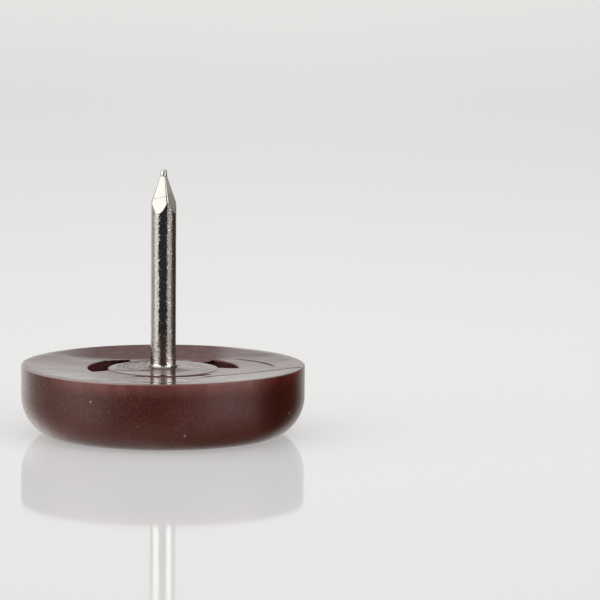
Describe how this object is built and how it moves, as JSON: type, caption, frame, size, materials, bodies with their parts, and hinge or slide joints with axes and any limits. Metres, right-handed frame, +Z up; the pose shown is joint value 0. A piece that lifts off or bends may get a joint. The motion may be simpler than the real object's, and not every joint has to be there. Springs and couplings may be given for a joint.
{
  "type": "nail on furniture glide",
  "caption": "Round moulded plastic glide with a dished top, curved slots and a rounded sole, on a steel nail that is driven into the end of a furniture leg.",
  "frame": {"origin": "on the floor, at the middle of the sole, on the nail's axis", "axes": "+Z up along the nail towards its point; -Y is the side that faces the viewer in the picture, +X is to the viewer's right"},
  "size_m": [0.024, 0.024, 0.0224],
  "materials": {
    "disc_plastic": "dark reddish brown moulded plastic, satin with a glossy top",
    "nail_steel": "bright plated steel wire with fine drawing marks"
  },
  "bodies": {
    "root": {"glide_disc": "disc_plastic", "nail": "nail_steel"}
  },
  "joints": []
}
